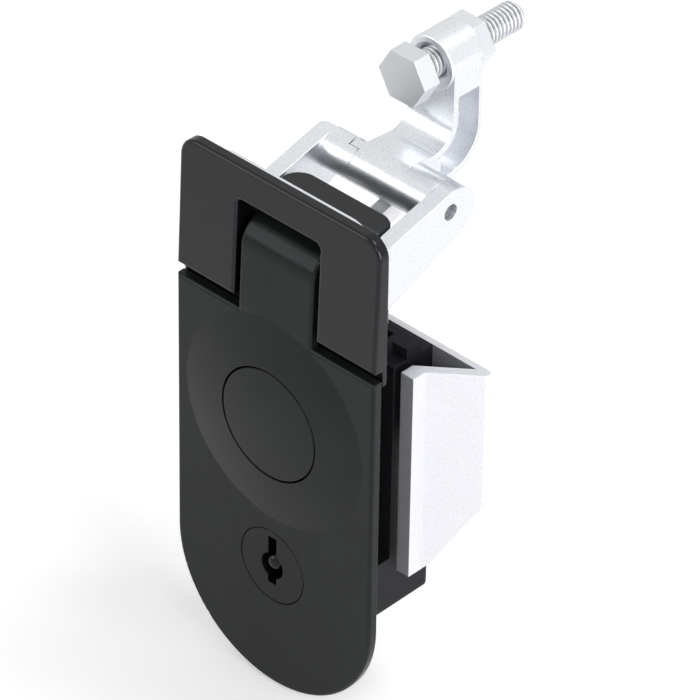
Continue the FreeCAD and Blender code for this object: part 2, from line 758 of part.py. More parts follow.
def arm_lines():
    """Corners that both gusset arms share: roots, bend and the points where the slopes end."""
    up = math.radians(arm_top_slope_deg)
    down = math.radians(arm_bottom_slope_deg)
    top_touch = V(0, arm_end_y - arm_end_radius * math.sin(up), arm_end_z + arm_end_radius * math.cos(up))
    low_touch = V(0, arm_end_y + arm_end_radius * math.sin(down),
                  arm_end_z - arm_end_radius * math.cos(down))
    top_bend = V(0, arm_level_depth, top_touch.z - (top_touch.y - arm_level_depth) * math.tan(up))
    top_root = V(0, plate_rear_y, top_bend.z)
    low_root = V(0, plate_rear_y, low_touch.z - (low_touch.y - plate_rear_y) * math.tan(down))
    return low_root, top_root, top_bend, top_touch, low_touch


def round_end_arm(x0, x1):
    """A gusset arm whose two slopes close round the pivot end."""
    low_root, top_root, top_bend, top_touch, low_touch = arm_lines()
    rearmost = V(0, arm_end_y + arm_end_radius, arm_end_z)
    face = Part.Face(Part.Wire([Part.makeLine(low_root, top_root), Part.makeLine(top_root, top_bend),
                                Part.makeLine(top_bend, top_touch),
                                Part.Arc(top_touch, rearmost, low_touch).toShape(),
                                Part.makeLine(low_touch, low_root)]))
    face.translate(V(x0, 0, 0))
    return face.extrude(V(x1 - x0, 0, 0))


def left_arm():
    """The arm beside the fixed boss, with a bevelled rear end and a rounded outer corner."""
    low_root, top_root, top_bend, top_touch, low_touch = arm_lines()
    bevel = math.tan(math.radians(left_end_slope_deg))
    top_rear = (hub_block_rear_y, hub_block_top_z(hub_block_rear_y))
    rear_top = (left_end_rear_y, top_rear[1] - (left_end_rear_y - hub_block_rear_y) * bevel)
    low_slope = math.tan(math.radians(arm_bottom_slope_deg))
    rear_low = (left_end_rear_y, low_touch.z + (left_end_rear_y - low_touch.y) * low_slope)
    outline = [(low_root.y, low_root.z), (top_root.y, top_root.z), (top_bend.y, top_bend.z),
               top_rear, rear_top, rear_low]
    arm = prism_x(outline, -arm_outer_x, -arm_inner_x)
    ends = lying_along(arm, V(1, 0, 0), [lambda p: near(p.y, left_end_rear_y)])
    arm = arm.makeFillet(left_end_radius, ends)
    fall = math.radians(left_end_slope_deg)
    corner = lying_along(arm, V(0, math.cos(fall), -math.sin(fall)), [lambda p: near(p.x, -arm_outer_x)])
    return arm.makeFillet(left_corner_radius, corner)


def pivot_bracket():
    half = bracket_plate_width / 2
    plate = box(-half, half, plate_rear_y, 0, bracket_plate_bottom_z, bracket_plate_top_z)
    top_corners = lying_along(plate, V(0, 1, 0), [lambda p: near(p.z, bracket_plate_top_z)])
    plate = plate.makeFillet(bracket_plate_radius, top_corners)
    window_half = hood_width / 2 + bracket_window_gap
    window = box(-window_half, window_half, plate_rear_y - 1, 1,
                 bracket_plate_bottom_z - 1, hood_high_roof_z + bracket_window_gap)
    plate = plate.cut(window)
    stop_room = box(block_inner_x, boss_inner_x + 1, hub_touch_y - ring_gap, pivot_y + hub_radius + 1,
                    pivot_z - hub_radius * 0.4, pivot_z + hub_radius + 1)
    stop_room = stop_room.cut(rod_x(pivot_y, pivot_z, journal_radius, block_inner_x - 1, boss_inner_x + 2))
    boss = rod_x(pivot_y, pivot_z, hub_radius, -arm_inner_x - 0.5, boss_inner_x)
    boss = joined([boss.cut(stop_room), hub_block(-arm_inner_x - 0.5, block_inner_x)])
    bracket = joined([plate, left_arm(), round_end_arm(arm_inner_x, arm_outer_x), boss])
    bracket = bracket.cut(rod_x(pivot_y, pivot_z, pivot_pin_radius + running_clearance,
                                -half_width, half_width))
    for x in (-bracket_screw_x, bracket_screw_x):
        for z in (bracket_screw_low_z, bracket_screw_high_z):
            bracket = bracket.cut(countersink(x, z))
    return bracket


def countersink(x, z):
    cone = Part.makeCone(bracket_screw_radius, bracket_screw_head_radius, plate_rear_gap * 0.75,
                         V(x, -plate_rear_gap * 0.75, z), V(0, 1, 0))
    return joined([cone, rod_y(x, z, bracket_screw_radius, plate_rear_y - 1, 0)])


def bracket_screws():
    screws = []
    for x in (-bracket_screw_x, bracket_screw_x):
        for z in (bracket_screw_low_z, bracket_screw_high_z):
            cone = Part.makeCone(bracket_screw_radius, bracket_screw_head_radius, plate_rear_gap * 0.75,
                                 V(x, -plate_rear_gap * 0.75, z), V(0, 1, 0))
            shank = rod_y(x, z, bracket_screw_radius, plate_rear_y - bracket_screw_depth, -0.1)
            screw = joined([cone, shank])
            cross, arm = bracket_screw_head_radius * 0.6, 0.22
            screw = screw.cut(box(x - cross, x + cross, -0.6, 1, z - arm, z + arm))
            screws.append(screw.cut(box(x - arm, x + arm, -0.6, 1, z - cross, z + cross)))
    return Part.makeCompound(screws)


hub_touch_y = pivot_y - hub_radius * math.sin(arm_slope)


def hub_block_top_z(y):
    """Height of the hub block's flat top, which is level with the arms' top edges."""
    return pivot_z + hub_radius * math.cos(arm_slope) + (y - hub_touch_y) * math.tan(arm_slope)


def hub_block(x0, x1):
    """The flat-topped block beside the hub, level with the arms' top edges."""
    outline = [(hub_touch_y, hub_block_top_z(hub_touch_y)),
               (hub_block_rear_y, hub_block_top_z(hub_block_rear_y)),
               (hub_block_rear_y, pivot_z - hub_radius * 0.6), (pivot_y, pivot_z - hub_radius * 0.6),
               (pivot_y, pivot_z)]
    return prism_x(outline, x0, x1)


def hub_head(x0, x1):
    """The hub's end beside the right arm, with the arm's own profile."""
    room = box(x0, x1, hub_touch_y, arm_end_y + arm_end_radius + 1,
               pivot_z - hub_radius * 0.6, arm_end_z + arm_end_radius + 1)
    return round_end_arm(x0, x1).common(room)


def pawl_outline(inset, x):
    """Side view of the pawl's elbow, moved inwards by a rim."""
    front = pawl_front_y + inset
    rear = pawl_rear_y - inset * 0.55
    base_top = pawl_base_top_z - inset
    base_low = pawl_base_bottom_z + inset
    top = pocket_top_z if inset else bolt_z
    start = pocket_front_y if inset else hub_block_rear_y
    start_top = base_top if inset else hub_block_top_z(start)
    inner = pawl_inner_radius + inset
    outer = pawl_outer_radius - inset
    turn = math.radians(45)
    points = {
        "base_top_start": V(x, start, start_top),
        "inner_in": V(x, front - inner, base_top),
        "inner_mid": V(x, front - inner + inner * math.sin(turn),
                       base_top + inner - inner * math.cos(turn)),
        "inner_out": V(x, front, base_top + inner),
        "top_front": V(x, front, top),
        "top_rear": V(x, rear, top),
        "outer_in": V(x, rear, base_low + outer),
        "outer_mid": V(x, rear - outer + outer * math.cos(turn),
                       base_low + outer - outer * math.sin(turn)),
        "outer_out": V(x, rear - outer, base_low),
        "base_low_start": V(x, start, base_low)}
    p = points
    return Part.Face(Part.Wire([
        Part.makeLine(p["base_top_start"], p["inner_in"]),
        Part.Arc(p["inner_in"], p["inner_mid"], p["inner_out"]).toShape(),
        Part.makeLine(p["inner_out"], p["top_front"]),
        Part.makeLine(p["top_front"], p["top_rear"]),
        Part.makeLine(p["top_rear"], p["outer_in"]),
        Part.Arc(p["outer_in"], p["outer_mid"], p["outer_out"]).toShape(),
        Part.makeLine(p["outer_out"], p["base_low_start"]),
        Part.makeLine(p["base_low_start"], p["base_top_start"])]))


def pawl():
    half = pawl_width / 2
    arm = pawl_outline(0, -half).extrude(V(pawl_width, 0, 0))
    boss = rod_y(0, bolt_z, boss_radius, boss_front_y, boss_rear_y)
    boss_rim = [e for e in boss.Edges if near(e.BoundBox.YMax, boss_front_y)]
    boss = boss.makeFillet(boss_edge_radius, boss_rim)
    hub_end = arm_inner_x - pawl_end_gap
    hub = rod_x(pivot_y, pivot_z, hub_radius, boss_inner_x + ring_gap, hub_end)
    block = hub_block(block_inner_x + slit_gap, half)
    journal_room = rod_x(pivot_y, pivot_z, journal_radius + journal_clearance,
                         -half_width, boss_inner_x + ring_gap)
    ears = []
    for x0, x1 in ((cheek_inner_x, cheek_inner_x + tail_ear_thickness),
                   (-cheek_inner_x - tail_ear_thickness, -cheek_inner_x)):
        ears.append(strut(ear_root_y, pawl_base_bottom_z + tail_end_radius,
                          tail_pin_y, tail_pin_z, tail_end_radius, x0, x1))
        ears.append(strut(ear_front_y, pivot_z - 1.6,
                          tail_pin_y, tail_pin_z, tail_end_radius, x0, x1))
    whole = joined([arm, boss, hub, hub_head(half - 0.5, hub_end)] + ears)
    boss_room = rod_x(pivot_y, pivot_z, hub_radius + ring_gap, -half_width, boss_inner_x + ring_gap)
    whole = joined([whole.cut(boss_room), block.cut(journal_room)])
    pocket_depth = (pawl_width - pawl_web) / 2
    for x in (-half - 1, half - pocket_depth):
        pocket = pawl_outline(pawl_rim, x).extrude(V(pocket_depth + 1, 0, 0))
        whole = whole.cut(pocket)
    whole = whole.cut(rod_x(pivot_y, pivot_z, pivot_pin_radius + running_clearance,
                            -half_width, half_width))
    whole = whole.cut(rod_x(tail_pin_y, tail_pin_z, link_pin_radius, -half_width, half_width))
    whole = whole.cut(rod_y(0, bolt_z, bolt_radius + bolt_hole_clearance,
                            boss_front_y - 1, pawl_rear_y + 1))
    chamfer = Part.makeCone(bolt_radius + 1.2, bolt_radius, 1.2, V(0, boss_front_y, bolt_z), V(0, 1, 0))
    return whole.cut(chamfer)


def drive_link():
    bar = strut(crank_pin_y, crank_pin_z, tail_pin_y, tail_pin_z, link_height / 2,
                -link_half, link_half)
    for y, z in ((crank_pin_y, crank_pin_z), (tail_pin_y, tail_pin_z)):
        bar = bar.cut(rod_x(y, z, link_pin_radius + running_clearance, -half_width, half_width))
    return bar


def adjusting_bolt():
    head_rear = bolt_head_front_y + bolt_head_height
    head = prism_y(hexagon(0, bolt_z, bolt_across_flats), bolt_head_front_y, head_rear)
    shank = rod_y(0, bolt_z, bolt_radius, head_rear - 0.1, bolt_end_y - bolt_chamfer)
    point = Part.makeCone(bolt_radius, bolt_radius - bolt_chamfer, bolt_chamfer,
                          V(0, bolt_end_y - bolt_chamfer, bolt_z), V(0, 1, 0))
    return joined([head, shank, point])


def lock_nut():
    nut = prism_y(hexagon(0, bolt_z, bolt_across_flats), boss_rear_y, boss_rear_y + nut_thickness)
    return nut.cut(rod_y(0, bolt_z, bolt_radius, boss_rear_y - 1, boss_rear_y + nut_thickness + 1))


def clamp_bracket():
    foot_rear_y = clamp_foot_front_y + clamp_foot_depth
    foot_outer_x = clamp_foot_inner_x + clamp_foot_width
    plate_rear = body_rear_y + clamp_thickness
    run = clamp_leg_run / clamp_leg_rise
    inner_tip_x = clamp_foot_inner_x + (body_rear_y - foot_rear_y) * run
    outer_tip_x = foot_outer_x + (plate_rear - foot_rear_y) * run
    pieces = []
    for side in (1, -1):
        outline = [(side * (inner_tip_x - 2), body_rear_y), (side * inner_tip_x, body_rear_y),
                   (side * clamp_foot_inner_x, foot_rear_y),
                   (side * clamp_foot_inner_x, clamp_foot_front_y),
                   (side * foot_outer_x, clamp_foot_front_y), (side * foot_outer_x, foot_rear_y),
                   (side * outer_tip_x, plate_rear), (side * (inner_tip_x - 2), plate_rear)]
        leg = prism_z(outline, clamp_foot_bottom_z, clamp_top_z)
        tip = lying_along(leg, V(0, 0, 1), [lambda p: near(abs(p.x), outer_tip_x)])
        leg = leg.makeFillet(clamp_tip_radius, tip)
        slope = (clamp_plate_bottom_z - clamp_foot_bottom_z) / (outer_tip_x - foot_outer_x)
        beyond = outer_tip_x + clamp_foot_width
        low_cut = [(side * foot_outer_x, clamp_foot_bottom_z),
                   (side * beyond, clamp_foot_bottom_z + slope * (beyond - foot_outer_x)),
                   (side * beyond, clamp_foot_bottom_z - 5),
                   (side * foot_outer_x, clamp_foot_bottom_z - 5)]
        leg = leg.cut(prism_y(low_cut, clamp_foot_front_y - 1, plate_rear + 1))
        inner_low = box(min(0, side * (inner_tip_x + 1)), max(0, side * (inner_tip_x + 1)),
                        body_rear_y, plate_rear + 1, clamp_foot_bottom_z - 1, clamp_plate_bottom_z)
        pieces.append(leg.cut(inner_low))
    plate = box(-inner_tip_x, inner_tip_x, body_rear_y, plate_rear, clamp_plate_bottom_z, clamp_top_z)
    bracket = joined([plate] + pieces)
    for x in (-clamp_screw_x, clamp_screw_x):
        bracket = bracket.cut(rod_y(x, clamp_screw_z, clamp_screw_radius + side_play,
                                    body_rear_y - 1, plate_rear + 1))
    return bracket


def clamp_screws():
    seat = body_rear_y + clamp_thickness
    depth = clamp_thickness + core_wall + clamp_boss_depth
    return Part.makeCompound([pan_screw(x, clamp_screw_z, seat, clamp_screw_radius, depth,
                                        clamp_head_radius, clamp_head_height)
                              for x in (-clamp_screw_x, clamp_screw_x)])


def body_screws():
    seat = hood_rear_y + joint_tab_thickness
    depth = joint_tab_thickness + hood_wall
    return Part.makeCompound([pan_screw(x, joint_screw_z, seat, small_screw_radius, depth,
                                        small_head_radius, small_head_height)
                              for x in (-joint_screw_x, joint_screw_x)])


def hinge_spring():
    """The torsion spring that lifts the handle, wound on the hinge pin."""
    wire = 0.35
    start = cheek_outer_x + side_play + wire
    length = tongue_width / 2 - wire - start
    turns = 3
    return coil(V(start, hinge_y, hinge_z), V(1, 0, 0), hinge_pin_radius + wire + 0.25, wire,
                length / turns, turns)


hood_half = hood_width / 2
arm_pin_end = arm_outer_x - pin_end_recess
ear_outer_x = cheek_inner_x + tail_ear_thickness

parts = {
    "front_plate": front_plate(),
    "housing_body": housing_body(),
    "pivot_bracket": pivot_bracket(),
    "bracket_screws": bracket_screws(),
    "body_screws": body_screws(),
    "clamp_bracket": clamp_bracket(),
    "clamp_screws": clamp_screws(),
    "hinge_pin": rod_x(hinge_y, hinge_z, hinge_pin_radius, -hood_half, hood_half),
    "hinge_spring": hinge_spring(),
    "pivot_pin": rod_x(pivot_y, pivot_z, pivot_pin_radius, -arm_pin_end, arm_pin_end),
    "spring_catch": spring_catch(),
    "catch_rivet": catch_rivet(),
    "handle": handle(),
    "crank_pin": rod_x(crank_pin_y, crank_pin_z, link_pin_radius, -cheek_outer_x, cheek_outer_x),
    "lock_barrel": lock_barrel(),
    "barrel_clip": barrel_clip(),
    "push_button": push_button(),
    "button_spring": button_spring(),
    "release_plate": release_plate(),
    "release_screw": release_screw(),
    "lock_plug": lock_plug(),
    "lock_wafers": lock_wafers(),
    "key_shutter": key_shutter(),
    "lock_cam": lock_cam(),
    "cam_screw": cam_screw(),
    "drive_link": drive_link(),
    "pawl": pawl(),
    "tail_pin": rod_x(tail_pin_y, tail_pin_z, link_pin_radius, -ear_outer_x, ear_outer_x),
    "adjusting_bolt": adjusting_bolt(),
    "lock_nut": lock_nut(),
}

for name, shape in parts.items():
    shape.exportStep("parts/" + name + ".step")
    solids = shape.Solids
    print(name, len(solids), "solids", round(shape.Volume, 1), "mm3", "valid", shape.isValid())
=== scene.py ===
import json
import math

import bmesh
import bpy
from mathutils import Matrix, Vector


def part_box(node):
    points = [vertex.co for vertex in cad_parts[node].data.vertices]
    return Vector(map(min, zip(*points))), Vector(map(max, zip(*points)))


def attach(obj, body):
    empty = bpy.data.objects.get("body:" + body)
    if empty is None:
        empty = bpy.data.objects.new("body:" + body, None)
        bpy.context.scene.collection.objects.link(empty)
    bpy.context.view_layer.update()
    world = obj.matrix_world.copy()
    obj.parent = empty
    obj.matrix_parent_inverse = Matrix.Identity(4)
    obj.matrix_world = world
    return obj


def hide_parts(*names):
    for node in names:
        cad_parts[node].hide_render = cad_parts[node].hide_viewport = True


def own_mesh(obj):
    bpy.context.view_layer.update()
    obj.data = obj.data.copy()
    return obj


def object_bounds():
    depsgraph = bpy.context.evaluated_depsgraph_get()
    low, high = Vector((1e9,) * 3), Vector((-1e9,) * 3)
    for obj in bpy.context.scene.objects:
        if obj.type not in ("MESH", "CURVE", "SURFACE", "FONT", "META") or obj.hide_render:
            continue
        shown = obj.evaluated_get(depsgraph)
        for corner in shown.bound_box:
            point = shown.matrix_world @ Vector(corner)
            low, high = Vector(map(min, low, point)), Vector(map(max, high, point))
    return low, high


# Lever latch: looks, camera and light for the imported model, in metres.
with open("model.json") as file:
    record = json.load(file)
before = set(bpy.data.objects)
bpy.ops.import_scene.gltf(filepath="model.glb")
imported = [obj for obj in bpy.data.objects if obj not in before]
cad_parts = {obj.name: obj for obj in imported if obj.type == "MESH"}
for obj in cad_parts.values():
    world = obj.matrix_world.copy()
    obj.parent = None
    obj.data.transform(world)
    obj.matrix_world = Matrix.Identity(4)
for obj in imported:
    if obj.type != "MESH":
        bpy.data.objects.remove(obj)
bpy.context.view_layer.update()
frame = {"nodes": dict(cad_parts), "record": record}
MM = 0.001

# Camera, at the photograph's angle
CAMERA_POSITION = Vector((0.57068, -0.59479, 0.62375))
LOOK_AT = Vector((0.01028, 0.00444, 0.01688))
CAMERA_ROLL_DEG = 0.975
CAMERA_LENS_MM = 288.4
SENSOR_WIDTH_MM = 36.0
CAMERA_NEAR = 0.05
CAMERA_FAR = 20.0

# Floor and light
FLOOR_GAP = 0.4 * MM
FLOOR_SIZE = 4.0
FLOOR_GREY = 0.9
FLOOR_ROUGHNESS = 0.9
FLOOR_SPECULAR = 0.1
FLOOR_GLOW = 0.3
WORLD_LIGHT = 0.35
WHITE = (1.0, 1.0, 1.0)
LAMP_AIM = Vector((0.0, 0.01, 0.0))

# The slight rounding that every edge of a real casting or moulding has
EDGE_RADIUS = 0.18 * MM
EDGE_SAMPLES = 6

# Surface textures: noise cells per metre, depth of the relief, and how strongly it turns the light
COAT_FLOW_SCALE = 90.0
COAT_GLOSS_SCALE = 260.0
COAT_GRAIN_SCALE = 2600.0
COAT_GRAIN_DEPTH = 0.008 * MM
COAT_RELIEF = 0.25
COAT_TINT = (0.94, 0.965, 1.0, 1.0)
CAST_GRAIN_SCALE = 3400.0
CAST_GRAIN_DEPTH = 0.02 * MM
CAST_RELIEF = 0.35
DRAWN_LINE_SCALE = 5200.0
DRAWN_LINE_DEPTH = 0.004 * MM
DRAWN_LINE_RELIEF = 0.1

# Base colours
SILVER = (0.76, 0.78, 0.81)
CLAMP_SILVER = (0.74, 0.755, 0.78)
BOLT_SILVER = (0.68, 0.7, 0.72)
BLACK = (0.003, 0.0034, 0.004)
SATIN_BLACK = (0.011, 0.0125, 0.0125)
PLASTIC = (0.012, 0.012, 0.014)

# Adjusting bolt and lock nut. The thread's profile is flat at the crest, with sloping flanks.
HEAD_HEIGHT = 4.0 * MM
HEAD_ACROSS_FLATS = 10.0 * MM
THREAD_RADIUS = 3.0 * MM
THREAD_PITCH = 1.0 * MM
THREAD_DEPTH = 0.58 * MM
THREAD_FLANK_SLOPE = 1.25
THREAD_IN_HEAD = 0.2 * MM
# Painted shade in a thread's grooves: the crest's outer share is left unshaded, and the root is darkened
# to this share of the base colour.
UNSHADED_CREST_SHARE = 0.15
PAINTED_GROOVE_SHADE = 0.16
POINT_LENGTH = 0.8 * MM
POINT_SLOPE = 0.9
STEPS_ROUND = 48
STEPS_PER_PITCH = 8
SMOOTH_ANGLE_DEG = 35.0
CRISP_ANGLE_DEG = 32.0

# Key shutter: a ball on its disc, set back in the keyway
SHUTTER_BALL_RADIUS = 2.15 * MM
SHUTTER_BALL_SHIFT = -0.5 * MM
SHUTTER_DISC_RADIUS = 2.8 * MM
SHUTTER_DISC_DEPTH = 2.6 * MM
SHUTTER_DISC_THICKNESS = 0.6 * MM

# Sockets of the node that mixes two colours
MIX_SHARE, MIX_FIRST, MIX_SECOND, MIX_RESULT = 0, 6, 7, 2


class Nodes:
    """A node tree, with short ways to add nodes and wire them."""

    def __init__(self, tree):
        self.tree = tree

    def node(self, kind, **settings):
        made = self.tree.nodes.new(kind)
        for key, value in settings.items():
            setattr(made, key, value)
        return made

    def link(self, source, target):
        self.tree.links.new(source, target)

    def maths(self, operation, first, second):
        """Two values put together. The second is a socket or a plain number."""
        made = self.node("ShaderNodeMath", operation=operation)
        self.link(first, made.inputs[0])
        if isinstance(second, float):
            made.inputs[1].default_value = second
        else:
            self.link(second, made.inputs[1])
        return made.outputs["Value"]

    def mapped(self, source, between=(0.0, 1.0), onto=(0.0, 1.0)):
        """Values between two limits are spread onto a new span, and held at its ends."""
        made = self.node("ShaderNodeMapRange")
        for name, value in zip(("From Min", "From Max", "To Min", "To Max"), (*between, *onto)):
            made.inputs[name].default_value = value
        self.link(source, made.inputs["Value"])
        return made.outputs["Result"]

    def seen_or_mirrored(self):
        """1 for rays from the camera, a mirror surface or a clear one, else 0."""
        path = self.node("ShaderNodeLightPath").outputs
        seen = self.maths("MAXIMUM", path["Is Camera Ray"], path["Is Glossy Ray"])
        return self.maths("MAXIMUM", seen, path["Is Transmission Ray"])


class Material(Nodes):
    """A material, with the textures and the relief that the finishes are made of."""

    def __init__(self, name):
        self.material = bpy.data.materials.new(name)
        self.material.use_nodes = True
        super().__init__(self.material.node_tree)
        self.inputs = self.tree.nodes["Principled BSDF"].inputs
        self.place = self.node("ShaderNodeTexCoord").outputs["Object"]

    def noise(self, scale, detail=2.0, roughness=0.5, stretch=None):
        made = self.node("ShaderNodeTexNoise")
        made.inputs["Scale"].default_value = scale
        made.inputs["Detail"].default_value = detail
        made.inputs["Roughness"].default_value = roughness
        source = self.place
        if stretch:
            mapping = self.node("ShaderNodeMapping")
            mapping.inputs["Scale"].default_value = stretch
            self.link(self.place, mapping.inputs["Vector"])
            source = mapping.outputs["Vector"]
        self.link(source, made.inputs["Vector"])
        return made.outputs["Fac"]

    def ramp(self, source, between, colours):
        """Two colours, blended between two values of the source."""
        made = self.node("ShaderNodeValToRGB")
        for element, position, colour in zip(made.color_ramp.elements, between, colours):
            element.position = position
            element.color = (*colour, 1.0)
        self.link(source, made.inputs["Fac"])
        return made.outputs["Color"]

    def mixed(self, share, first, second_colour):
        made = self.node("ShaderNodeMix", data_type="RGBA")
        self.link(share, made.inputs[MIX_SHARE])
        self.link(first, made.inputs[MIX_FIRST])
        made.inputs[MIX_SECOND].default_value = (*second_colour, 1.0)
        return made.outputs[MIX_RESULT]

    def painted_groove_shade_mask(self, axis_x, axis_z, start_y, crest, root):
        """1 at the root of a thread along Y that begins at start_y, else 0: the mask of the shade
        painted into the grooves.
        """
        apart = self.node("ShaderNodeSeparateXYZ")
        self.link(self.place, apart.inputs["Vector"])
        across = self.node("ShaderNodeCombineXYZ")
        for axis, centre in (("X", axis_x), ("Z", axis_z)):
            self.link(self.maths("SUBTRACT", apart.outputs[axis], centre), across.inputs[axis])
        length = self.node("ShaderNodeVectorMath", operation="LENGTH")
        self.link(across.outputs["Vector"], length.inputs[0])
        groove = self.mapped(length.outputs["Value"], between=(crest, root))
        behind_start = self.maths("GREATER_THAN", apart.outputs["Y"], start_y)
        return self.maths("MULTIPLY", groove, behind_start)

    def bump(self, source, strength, distance):
        """Relief from the source, on a surface whose edges are slightly rounded."""
        edge = self.node("ShaderNodeBevel", samples=EDGE_SAMPLES)
        edge.inputs["Radius"].default_value = EDGE_RADIUS
        made = self.node("ShaderNodeBump")
        made.inputs["Strength"].default_value = strength
        made.inputs["Distance"].default_value = distance
        self.link(source, made.inputs["Height"])
        self.link(edge.outputs["Normal"], made.inputs["Normal"])
        self.link(made.outputs["Normal"], self.inputs["Normal"])


def shade(colour, factor):
    return [channel * factor for channel in colour]


def black_finish(name, base, roughness, specular, grain=COAT_GRAIN_SCALE, grain_depth=COAT_GRAIN_DEPTH):
    """A black coat with faint flow, fine grain and a slight change of gloss."""
    m = Material(name)
    flow = m.noise(COAT_FLOW_SCALE, detail=3.0)
    m.link(m.ramp(flow, (0.35, 0.65), (shade(base, 0.9), shade(base, 1.1))), m.inputs["Base Color"])
    m.link(m.mapped(m.noise(COAT_GLOSS_SCALE), onto=roughness), m.inputs["Roughness"])
    m.bump(m.noise(grain), COAT_RELIEF, grain_depth)
    m.inputs["Specular IOR Level"].default_value = specular
    m.inputs["Specular Tint"].default_value = COAT_TINT
    return m.material


def cast_finish(name, base, roughness, grain=CAST_GRAIN_SCALE, speckle=0.8, metallic=0.85):
    """A tumbled die casting: bright metal with a fine dark speckle."""
    m = Material(name)
    spots = m.noise(grain, detail=3.0, roughness=0.7)
    m.link(m.ramp(spots, (0.34, 0.52), (shade(base, speckle), base)), m.inputs["Base Color"])
    m.inputs["Metallic"].default_value = metallic
    gloss = m.mapped(m.noise(grain * 0.3), onto=(roughness - 0.05, roughness + 0.07))
    m.link(gloss, m.inputs["Roughness"])
    m.bump(spots, CAST_RELIEF, CAST_GRAIN_DEPTH)
    return m.material


def steel_finish(name, base, roughness, stretch=None, metallic=0.85, thread=None):
    """Plated or ground steel with fine drawn lines. Shade is painted into the grooves of a thread,
    darker towards the root.
    """
    m = Material(name)
    lines = m.noise(DRAWN_LINE_SCALE, stretch=stretch)
    colour = m.ramp(lines, (0.3, 0.7), (shade(base, 0.94), base))
    if thread:
        # Painted shade: the thread's grooves are darkened towards the root.
        colour = m.mixed(m.painted_groove_shade_mask(**thread), colour, shade(base, PAINTED_GROOVE_SHADE))
    m.link(colour, m.inputs["Base Color"])
    m.inputs["Metallic"].default_value = metallic
    m.link(m.mapped(lines, onto=(roughness - 0.03, roughness + 0.04)), m.inputs["Roughness"])
    m.bump(lines, DRAWN_LINE_RELIEF, DRAWN_LINE_DEPTH)
    return m.material


bolt_low, bolt_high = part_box("adjusting_bolt")
bolt_axis = ((bolt_low.x + bolt_high.x) / 2, (bolt_low.z + bolt_high.z) / 2)
head_rear = bolt_low.y + HEAD_HEIGHT
# The bolt's thread, where shade is painted into the grooves
bolt_painted_groove_shade = {"axis_x": bolt_axis[0], "axis_z": bolt_axis[1], "start_y": head_rear,
               "crest": THREAD_RADIUS - UNSHADED_CREST_SHARE * THREAD_DEPTH,
               "root": THREAD_RADIUS - THREAD_DEPTH}

# One finish for each material slot of the record
FINISHES = {
    "front_black": black_finish("front_gloss_black", BLACK, (0.16, 0.2), specular=0.3),
    "handle_black": black_finish("handle_satin_black", SATIN_BLACK, (0.19, 0.23), specular=0.15),
    "button_black": black_finish("button_satin_black", SATIN_BLACK, (0.19, 0.23), specular=0.16),
    "lock_black": black_finish("lock_satin_black", BLACK, (0.22, 0.28), specular=0.2),
    "housing_black": black_finish("housing_textured_black", PLASTIC, (0.34, 0.42), specular=0.1,
                                  grain=1900.0, grain_depth=0.05 * MM),
    "bracket_silver": cast_finish("bracket_cast_silver", SILVER, 0.29),
    "pawl_silver": cast_finish("pawl_cast_silver", SILVER, 0.29),
    "clamp_silver": cast_finish("clamp_silver", CLAMP_SILVER, 0.34, speckle=0.85, metallic=0.65),
    "bolt_steel": steel_finish("bolt_plated_steel", BOLT_SILVER, 0.38, metallic=0.6, thread=bolt_painted_groove_shade),
    "nut_steel": steel_finish("nut_plated_steel", SILVER, 0.28),
    "screw_steel": steel_finish("screw_plated_steel", (0.7, 0.71, 0.73), 0.3),
    # The pin's base colour is darkened to paint the shade of its recessed hole.
    "pin_steel": steel_finish("pin_steel_with_painted_hole_shade", (0.2, 0.205, 0.215), 0.3, stretch=(8.0, 1.0, 1.0)),
    "spring_steel": steel_finish("spring_dark_steel", (0.35, 0.36, 0.38), 0.3),
    "barrel_zinc": cast_finish("barrel_cast_zinc", (0.6, 0.61, 0.62), 0.38, grain=2600.0),
    "wafer_brass": steel_finish("wafer_brass", (0.72, 0.55, 0.25), 0.3),
    "shutter_steel": black_finish("shutter_dark_steel", BLACK, (0.06, 0.09), specular=0.25,
                                  grain_depth=0.004 * MM),
    "cam_steel": steel_finish("cam_plated_steel", (0.66, 0.68, 0.7), 0.32),
    "link_silver": steel_finish("link_plated_steel", (0.84, 0.85, 0.87), 0.4, stretch=(1.0, 6.0, 1.0),
                                metallic=0.5),
}

slot_of = {entry["node"]: entry["material_slot"] for entry in frame["record"]["subparts"]}
body_holding = {node: body for body, nodes in frame["record"]["behaviour"]["bodies"].items()
                for node in nodes}


def node_object(node):
    return frame["nodes"][node]


for node, slot_name in slot_of.items():
    for material_slot in node_object(node).material_slots:
        material_slot.material = FINISHES[slot_name]


def add_to_scene(name, data):
    """An object that shows a mesh, a lamp or a camera."""
    obj = bpy.data.objects.new(name, data)
    bpy.context.scene.collection.objects.link(obj)
    return obj


def from_bmesh(name, bm, smooth_angle_deg=SMOOTH_ANGLE_DEG):
    """An object with the finished mesh, shaded smooth up to an angle."""
    mesh_data = bpy.data.meshes.new(name)
    bmesh.ops.recalc_face_normals(bm, faces=bm.faces)
    bm.to_mesh(mesh_data)
    bm.free()
    mesh_data.shade_smooth()
    mesh_data.set_sharp_from_angle(angle=math.radians(smooth_angle_deg))
    return add_to_scene(name, mesh_data)


def stand_in(obj, node):
    """A finer piece shown in place of a CAD node."""
    obj.data.materials.append(FINISHES[slot_of[node]])
    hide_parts(node)
    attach(obj, body_holding[node])


def ring(bm, y, radii, centre):
    """Points around an axis along Y, each at its own radius."""
    count = len(radii)
    return [bm.verts.new((centre[0] + r * math.cos(2 * math.pi * i / count), y,
                          centre[1] + r * math.sin(2 * math.pi * i / count)))
            for i, r in enumerate(radii)]


def skin(bm, rings):
    """Faces from ring to ring, closed at both ends."""
    for lower, upper in zip(rings, rings[1:]):
        count = len(lower)
        for i in range(count):
            j = (i + 1) % count
            bm.faces.new((lower[i], lower[j], upper[j], upper[i]))
    bm.faces.new(rings[0])
    bm.faces.new(rings[-1])


